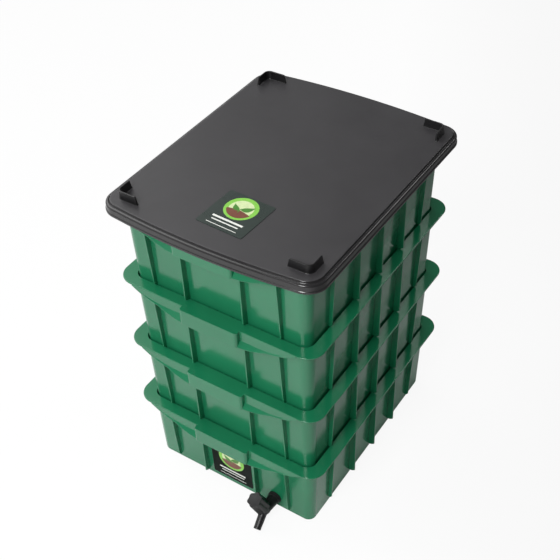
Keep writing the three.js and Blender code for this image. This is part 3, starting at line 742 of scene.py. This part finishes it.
def tap_body():
    start = GAP + SEAL_T + GAP
    rows = section(TAIL_R, -TAIL_L, TAIL_EDGE)
    z = -TAIL_L + THREAD_START
    while z < start - THREAD_END:
        rows += section(TAIL_R, z, THREAD)
        z += THREAD_PITCH
    rows.append((TAIL_R, start))
    rows += section(BARREL_R + COLLAR_W, start, COLLAR_BACK)
    rows += section(BARREL_R + COLLAR_W, start + COLLAR_T, COLLAR_FRONT)
    rows += section(BARREL_R, start + COLLAR_T, BARREL_ROOT)
    rows += section(BARREL_END, VALVE + BARREL_PAST, BARREL_TIP)
    main = turned(rows, "tap_body_main", ALONG)
    rows = section(HOUSE_R, -HOUSE_FOOT, HOUSE_BASE) + section(HOUSE_R, HOUSE_TOP, HOUSE_EDGE)
    house = turned(rows, "house", ON_VALVE)
    pipe = spout("pipe", SPOUT_R, SPOUT_TIP, bead=True)
    inlet = turned([(BORE_R, -TAIL_L - CUT_PAST), (BORE_R, VALVE)], "inlet", ALONG, CUTTER_SIDES)
    outlet = spout("outlet", SPOUT_BORE, SPOUT_BORE, extra=CUT_PAST, n=CUTTER_SIDES)
    chamber = turned([(CHAMBER_R, -CHAMBER_FOOT), (CHAMBER_R, HOUSE_TOP + CUT_PAST)], "chamber",
                     ON_VALVE, CUTTER_SIDES)
    combine(main, ("UNION", house), ("UNION", pipe), ("DIFFERENCE", inlet),
            ("DIFFERENCE", outlet), ("DIFFERENCE", chamber))
    place(main, TAP_PLACE)
    return main


def lobed(r, z, depth=KNOB_DEPTH):
    pts = []
    for i in range(KNOB_SIDES):
        a = 2 * math.pi * i / KNOB_SIDES
        reach = r - depth * (1 + math.cos(KNOB_LOBES * a)) / 2
        pts.append((reach * math.cos(a), reach * math.sin(a), z))
    return pts


def tap_knob():
    hollow = [(KNOB_SOCKET_R, KNOB_TOP - KNOB_SOCKET_DEPTH), (KNOB_SOCKET_R, KNOB_HOLLOW_TOP),
              (KNOB_HOLLOW_R, KNOB_HOLLOW_TOP)] + section(KNOB_HOLLOW_R, KNOB_FOOT, KNOB_MOUTH)
    sides = section(KNOB_FOOT_R, KNOB_FOOT, KNOB_BASE) + [(KNOB_TOP_R, KNOB_TOP - KNOB_SIDE_END)]
    edge = arc(KNOB_EDGE, KNOB_TOP - KNOB_EDGE, KNOB_EDGE, LEFT, TOP + 6, steps=5)[1:]
    sides += [(KNOB_TOP_R - inset, z) for inset, z in edge]
    rings = [circle(r, z, KNOB_SIDES) for r, z in hollow]
    rings += [lobed(r, z) for r, z in sides]
    rings += [lobed(KNOB_TOP_R - inset, KNOB_TOP + h, depth) for inset, h, depth in KNOB_DOME]
    rings.append(circle(KNOB_CENTRE_R, KNOB_TOP + KNOB_CENTRE_H, KNOB_SIDES))
    obj = to_object(loft(rings), "tap_knob_look")
    place(obj, TAP_PLACE @ ON_VALVE)
    return obj


def many_sided(r, z, sides):
    """Points round a polygon with the given number of flats, r from the centre to a flat."""
    pts = []
    flat = 2 * math.pi / sides
    for i in range(RING_SIDES):
        a = 2 * math.pi * i / RING_SIDES
        reach = r / math.cos((a + flat / 2) % flat - flat / 2)
        pts.append((reach * math.cos(a), reach * math.sin(a), z))
    return pts


def ring_piece(name, width, near, far, edge, sides=None):
    """A washer, or a nut when sides is given, round the tap's tail."""
    def outside(r, z):
        return many_sided(r, z, sides) if sides else circle(r, z, RING_SIDES)

    def inside(r, z):
        return circle(r, z, RING_SIDES)

    outer, inner = HOLE_R + width, HOLE_R
    rings = [inside(inner, near + edge), inside(inner + edge, near), outside(outer - edge, near),
             outside(outer, near + edge), outside(outer, far - edge), outside(outer - edge, far),
             inside(inner + edge, far), inside(inner, far - edge)]
    bm = loft(rings, ends="loop")
    bm.transform(TAP_PLACE @ ALONG)
    return to_object(bm, name)


# Materials.
# Printed film: tone of its speckle, and how far its roughness goes down and up.
SPECKLE_TONE, SMOOTHER, ROUGHER = 0.88, 0.05, 0.08


def new_material(name):
    mat = bpy.data.materials.new(name)
    mat.use_nodes = True
    nt = mat.node_tree
    return mat, nt, nt.nodes["Principled BSDF"]


def node(nt, kind, **values):
    n = nt.nodes.new(kind)
    for key, value in values.items():
        setattr(n, key, value)
    return n


def noise(nt, coords, scale, detail=3.0, rough=0.5):
    n = node(nt, "ShaderNodeTexNoise")
    n.inputs["Scale"].default_value = scale
    n.inputs["Detail"].default_value = detail
    n.inputs["Roughness"].default_value = rough
    nt.links.new(coords, n.inputs["Vector"])
    return n.outputs["Fac"]


def ramp(nt, fac, stops):
    n = node(nt, "ShaderNodeValToRGB")
    el = n.color_ramp.elements
    while len(el) > 1:
        el.remove(el[-1])
    el[0].position, el[0].color = stops[0][0], tuple(stops[0][1]) + (1,)
    for pos, color in stops[1:]:
        e = el.new(pos)
        e.color = tuple(color) + (1,)
    nt.links.new(fac, n.inputs["Fac"])
    return n.outputs["Color"]


def to_range(nt, fac, low, high, start=0.3, stop=0.7):
    n = node(nt, "ShaderNodeMapRange")
    n.inputs["From Min"].default_value, n.inputs["From Max"].default_value = start, stop
    n.inputs["To Min"].default_value, n.inputs["To Max"].default_value = low, high
    nt.links.new(fac, n.inputs["Value"])
    return n.outputs["Result"]


def bump(nt, height, strength, distance, normal=None):
    n = node(nt, "ShaderNodeBump")
    n.inputs["Strength"].default_value = strength
    n.inputs["Distance"].default_value = distance
    nt.links.new(height, n.inputs["Height"])
    if normal is not None:
        nt.links.new(normal, n.inputs["Normal"])
    return n.outputs["Normal"]


def math_node(nt, op, a, b):
    n = node(nt, "ShaderNodeMath", operation=op)
    for i, v in enumerate((a, b)):
        if isinstance(v, (int, float)):
            n.inputs[i].default_value = v
        else:
            nt.links.new(v, n.inputs[i])
    return n.outputs[0]


def along(nt, coords, direction):
    """How far a point lies in a direction."""
    n = node(nt, "ShaderNodeVectorMath", operation="DOT_PRODUCT")
    nt.links.new(coords, n.inputs[0])
    n.inputs[1].default_value = direction
    return n.outputs["Value"]


def srgb(r, g, b):
    def lin(v):
        v /= 255
        return v / 12.92 if v <= 0.04045 else ((v + 0.055) / 1.055) ** 2.4
    return (lin(r), lin(g), lin(b))


def moulded(name, dark, light, rough, grain, grain_depth, ripple, shine=0.5):
    """Injection-moulded plastic: slow colour drift, fine grain, flow ripple and rubbed patches."""
    mat, nt, bsdf = new_material(name)
    bsdf.inputs["Specular IOR Level"].default_value = shine
    obj = node(nt, "ShaderNodeTexCoord").outputs["Object"]
    drift = noise(nt, obj, scale=7.0, detail=4.0, rough=0.55)
    nt.links.new(ramp(nt, drift, [(0.3, srgb(*dark)), (0.7, srgb(*light))]),
                 bsdf.inputs["Base Color"])
    patch = noise(nt, obj, scale=22.0, detail=6.0, rough=0.65)
    nt.links.new(to_range(nt, patch, *rough), bsdf.inputs["Roughness"])
    fine = noise(nt, obj, scale=grain, detail=2.0, rough=0.6)
    wave = noise(nt, obj, scale=34.0, detail=1.0, rough=0.4)
    rippled = bump(nt, wave, strength=ripple, distance=0.0006)
    grained = bump(nt, fine, strength=0.25, distance=grain_depth, normal=rippled)
    nt.links.new(grained, bsdf.inputs["Normal"])
    return mat


def print_colour(name, color, rough=0.34, shine=0.5):
    """Printed film: a faint speckle, uneven gloss and a slight wave."""
    mat, nt, bsdf = new_material(name)
    bsdf.inputs["Specular IOR Level"].default_value = shine
    obj = node(nt, "ShaderNodeTexCoord").outputs["Object"]
    speck = noise(nt, obj, scale=260.0, detail=3.0, rough=0.6)
    full = srgb(*color)
    low = tuple(c * SPECKLE_TONE for c in full)
    nt.links.new(ramp(nt, speck, [(0.35, low), (0.6, full)]), bsdf.inputs["Base Color"])
    gloss = to_range(nt, noise(nt, obj, scale=60.0), rough - SMOOTHER, rough + ROUGHER)
    nt.links.new(gloss, bsdf.inputs["Roughness"])
    wave = bump(nt, noise(nt, obj, scale=120.0, detail=2.0), strength=0.06, distance=0.0003)
    nt.links.new(wave, bsdf.inputs["Normal"])
    return mat


green = moulded("green_plastic", (22, 106, 71), (27, 115, 78), rough=(0.14, 0.21),
                grain=900.0, grain_depth=0.00002, ripple=0.12, shine=0.6)
lid_mat = moulded("lid_plastic", (46, 45, 47), (54, 53, 55), rough=(0.38, 0.48),
                  grain=1500.0, grain_depth=0.00008, ripple=0.03)
# The rim and skirt are the lid's plastic, smoother, and with painted shade: a darker colour.
rim_painted_shade_mat = moulded("lid_rim_painted_shade", (30, 29, 30), (37, 36, 37), rough=(0.2, 0.28),
                  grain=1500.0, grain_depth=0.00002, ripple=0.03)
# The lugs are the lid's plastic with painted shade: a near-black colour.
lug_painted_shade_mat = moulded("lid_lug_painted_shade", (10, 10, 11), (16, 15, 17), rough=(0.34, 0.44),
                  grain=1500.0, grain_depth=0.00005, ripple=0.03)
tap_mat = moulded("tap_plastic", (18, 18, 19), (26, 26, 27), rough=(0.33, 0.42),
                  grain=1200.0, grain_depth=0.00004, ripple=0.05, shine=0.38)
rubber = moulded("seal_rubber", (18, 18, 18), (25, 25, 25), rough=(0.6, 0.75),
                 grain=1600.0, grain_depth=0.00008, ripple=0.05, shine=0.35)
prints = {
    "label_film": print_colour("label_film", (34, 47, 42), rough=0.3),
    "label_ring": print_colour("label_ring", (128, 196, 72)),
    "label_pale": print_colour("label_pale", (206, 222, 168)),
    "label_leaf": print_colour("label_leaf", (66, 128, 40)),
    "label_soil": print_colour("label_soil", (112, 62, 44)),
    "label_white": print_colour("label_white", (226, 228, 222)),
}


# Assembly.
LID_LABEL_X, LID_LABEL_IN, LID_LABEL_TURN = 4.5, 37, -2.7
FRONT_LABEL_X, FRONT_LABEL_FOOT = -0.8, 10.5
SHARP_ANGLE, LABEL_SHARP_ANGLE = 32, 40
LARGE_FACE_WEIGHT = 70


def dress(obj, body, nodes, material=None, angle=SHARP_ANGLE, weighted=True):
    mesh = obj.data
    if material is not None:
        mesh.materials.clear()
        mesh.materials.append(material)
        mesh.polygons.foreach_set("material_index", [0] * len(mesh.polygons))
    mesh.polygons.foreach_set("use_smooth", [True] * len(mesh.polygons))
    mesh.set_sharp_from_angle(angle=math.radians(angle))
    if weighted:
        mod = obj.modifiers.new("even shading", "WEIGHTED_NORMAL")
        mod.keep_sharp = True
        mod.weight = LARGE_FACE_WEIGHT
    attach(obj, body)
    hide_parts(*nodes)


working = tray("tray_lower_look", -NEST, True)
collector = tray("collector_tray_look", -NEST, False)
hole = turned([(HOLE_R, -WALL - LONG_CUT_PAST), (HOLE_R, SHORT_CUT_PAST)], "tap_hole",
              TAP_PLACE @ ALONG)
place(collector, shift(0, 0, NEST))
combine(collector, ("DIFFERENCE", hole))
for key, z in LEVELS.items():
    obj = link_object("tray_%s_look" % key, working.data.copy())
    place(obj, shift(0, 0, z))
    dress(obj, key, ["tray_" + key], green)
bpy.data.objects.remove(working)
dress(collector, "collector", ["collector_tray"], green)

cover = lid()
place(cover, shift(0, 0, LID_Z))
cover.name = "lid_look"
dress(cover, "cover", ["lid"])

lid_film = label("lid_label_look", prints)
place(lid_film, shift(LID_LABEL_X, LID_LABEL_IN + LABEL_H / 2 - LID_Y, LID_Z + PANEL_H)
      @ spin(LID_LABEL_TURN, "Z"))
dress(lid_film, "cover", ["lid_label"], angle=LABEL_SHARP_ANGLE, weighted=False)
# The front film is the film with painted shade: a darker colour, as the print looks in the shade,
# and less glossy.
prints["label_film"] = print_colour("label_film_painted_shade", (12, 19, 15), rough=0.55, shine=0.1)
front_film = label("collector_label_look", prints)
front_mid = FRONT_LABEL_FOOT + LABEL_H / 2
place(front_film, shift(FRONT_LABEL_X, -tub_y(front_mid - NEST), front_mid) @ spin(90 + LEAN, "X"))
dress(front_film, "collector", ["collector_label"], angle=LABEL_SHARP_ANGLE,
      weighted=False)

body = tap_body()
body.name = "tap_body_look"
dress(body, "collector", ["tap_body"], tap_mat)
dress(tap_knob(), "tap_handle", ["tap_knob"], tap_mat)
seal_face = -WALL - GAP
nut_face = seal_face - IN_SEAL_T - GAP
outer_washer = ring_piece("tap_outer_washer_look", SEAL_W, GAP, GAP + SEAL_T, edge=0.5)
dress(outer_washer, "collector", ["tap_outer_washer"], rubber)
inner_washer = ring_piece("tap_inner_washer_look", IN_SEAL_W, seal_face - IN_SEAL_T, seal_face,
                          edge=0.35)
dress(inner_washer, "collector", ["tap_inner_washer"], rubber)
nut = ring_piece("tap_back_nut_look", NUT_WALL, nut_face - NUT_T, nut_face, edge=0.7, sides=6)
dress(nut, "collector", ["tap_back_nut"], tap_mat)
for name, mat in (("tap_valve_plug", tap_mat), ("tap_plug_seal", rubber)):
    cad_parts[name].data.materials.clear()
    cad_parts[name].data.materials.append(mat)


# Stage, light and camera.
FLOOR_HALF, FLOOR_CELLS = 6.0, 24
# The paper's colour is painted darker along this direction: painted shade towards the dim side of
# the studio.
FLOOR_FALL = (0.9, 0.44, 0.0)      # towards the dim side of the studio
FLOOR_PAINTED_SHADE_TONES = ((0.2, 0.87), (0.55, 0.35), (1.0, 0.18))
FLOOR_UNEVEN, FLOOR_ROUGHNESS = 0.1, 0.9
FLOOR_SEEN = 0.91                  # share of plain white that the camera sees
BRIGHT_SIDE = (-0.966, 0.0, 0.26)
DIM, BRIGHT = 0.14, 1.1
CAMERA_AT = (0.6707, -0.9995, 1.3677)
CAMERA_AZIMUTH, CAMERA_ELEVATION, CAMERA_ROLL = 34.64, 41.36, -2.33
FOCAL_PIXELS, IMAGE_PIXELS, SENSOR = 1029.56, 560, 36


def floor():
    """Pale paper with painted shade: its colour darkens towards the dim side of the studio."""
    bm = bmesh.new()
    bmesh.ops.create_grid(bm, x_segments=FLOOR_CELLS, y_segments=FLOOR_CELLS, size=FLOOR_HALF)
    mesh = bpy.data.meshes.new("floor")
    bm.to_mesh(mesh)
    bm.free()
    obj = link_object("floor", mesh)
    mat, nt, bsdf = new_material("floor_paper")
    at = node(nt, "ShaderNodeTexCoord").outputs["Object"]
    uneven = math_node(nt, "MULTIPLY", noise(nt, at, scale=3.0), FLOOR_UNEVEN)
    # Painted shade: the tone falls towards the dim side, with a random unevenness.
    shade = math_node(nt, "ADD", along(nt, at, FLOOR_FALL), uneven)
    nt.links.new(ramp(nt, shade, [(pos, (tone, tone, tone)) for pos, tone in FLOOR_PAINTED_SHADE_TONES]),
                 bsdf.inputs["Base Color"])
    bsdf.inputs["Roughness"].default_value = FLOOR_ROUGHNESS
    glow = node(nt, "ShaderNodeEmission")
    seen = node(nt, "ShaderNodeLightPath").outputs["Is Camera Ray"]
    both = node(nt, "ShaderNodeMixShader")
    nt.links.new(math_node(nt, "MULTIPLY", seen, FLOOR_SEEN), both.inputs[0])
    nt.links.new(bsdf.outputs[0], both.inputs[1])
    nt.links.new(glow.outputs[0], both.inputs[2])
    nt.links.new(both.outputs[0], nt.nodes["Material Output"].inputs["Surface"])
    mesh.materials.append(mat)


def studio():
    """A studio that is bright on the left and dim elsewhere, and plain white to the camera."""
    world = bpy.data.worlds.new("studio")
    bpy.context.scene.world = world
    world.use_nodes = True
    nt = world.node_tree
    back = nt.nodes["Background"]
    back.inputs["Color"].default_value = (1, 1, 1, 1)
    path = node(nt, "ShaderNodeLightPath")
    seen = math_node(nt, "MAXIMUM", path.outputs["Is Camera Ray"],
                     path.outputs["Is Transmission Ray"])
    towards = along(nt, node(nt, "ShaderNodeTexCoord").outputs["Generated"], BRIGHT_SIDE)
    side = to_range(nt, towards, DIM, BRIGHT, start=0.5, stop=0.78)
    strength = node(nt, "ShaderNodeMapRange")
    strength.inputs["To Max"].default_value = 1.0
    nt.links.new(seen, strength.inputs["Value"])
    nt.links.new(side, strength.inputs["To Min"])
    nt.links.new(strength.outputs["Result"], back.inputs["Strength"])


def area(name, at, aim, size, power):
    data = bpy.data.lights.new(name, "AREA")
    data.shape = "RECTANGLE"
    data.size, data.size_y, data.energy = size, size, power
    obj = link_object(name, data)
    obj.location = at
    obj.rotation_euler = (Vector(aim) - Vector(at)).to_track_quat("-Z", "Y").to_euler()


def camera():
    az, el, roll = (math.radians(v) for v in (CAMERA_AZIMUTH, CAMERA_ELEVATION, CAMERA_ROLL))
    forward = -Vector((math.sin(az) * math.cos(el), -math.cos(az) * math.cos(el), math.sin(el)))
    level = Vector((math.cos(az), math.sin(az), 0))
    rise = level.cross(forward)
    right = level * math.cos(roll) + rise * math.sin(roll)
    up = -level * math.sin(roll) + rise * math.cos(roll)
    data = bpy.data.cameras.new("photo_view")
    data.sensor_fit = "HORIZONTAL"
    data.sensor_width = SENSOR
    data.lens = SENSOR * FOCAL_PIXELS / IMAGE_PIXELS
    data.clip_start, data.clip_end = 0.05, 50
    obj = link_object("photo_view", data)
    turn = Matrix((right, up, -forward)).transposed().to_4x4()
    obj.matrix_world = Matrix.Translation(CAMERA_AT) @ turn
    bpy.context.scene.camera = obj


floor()
studio()
area("left_above", at=(-1.96, 0.17, 2.6), aim=(0, 0, 0.3), size=2.2, power=34)
area("front", at=(0.2, -2.25, 2.3), aim=(0, 0, 0.25), size=1.1, power=76)
area("behind_right", at=(1.06, 1.84, 2.1), aim=(0, 0, 0.1), size=0.6, power=9)
camera()
bpy.context.scene.view_settings.view_transform = "Standard"
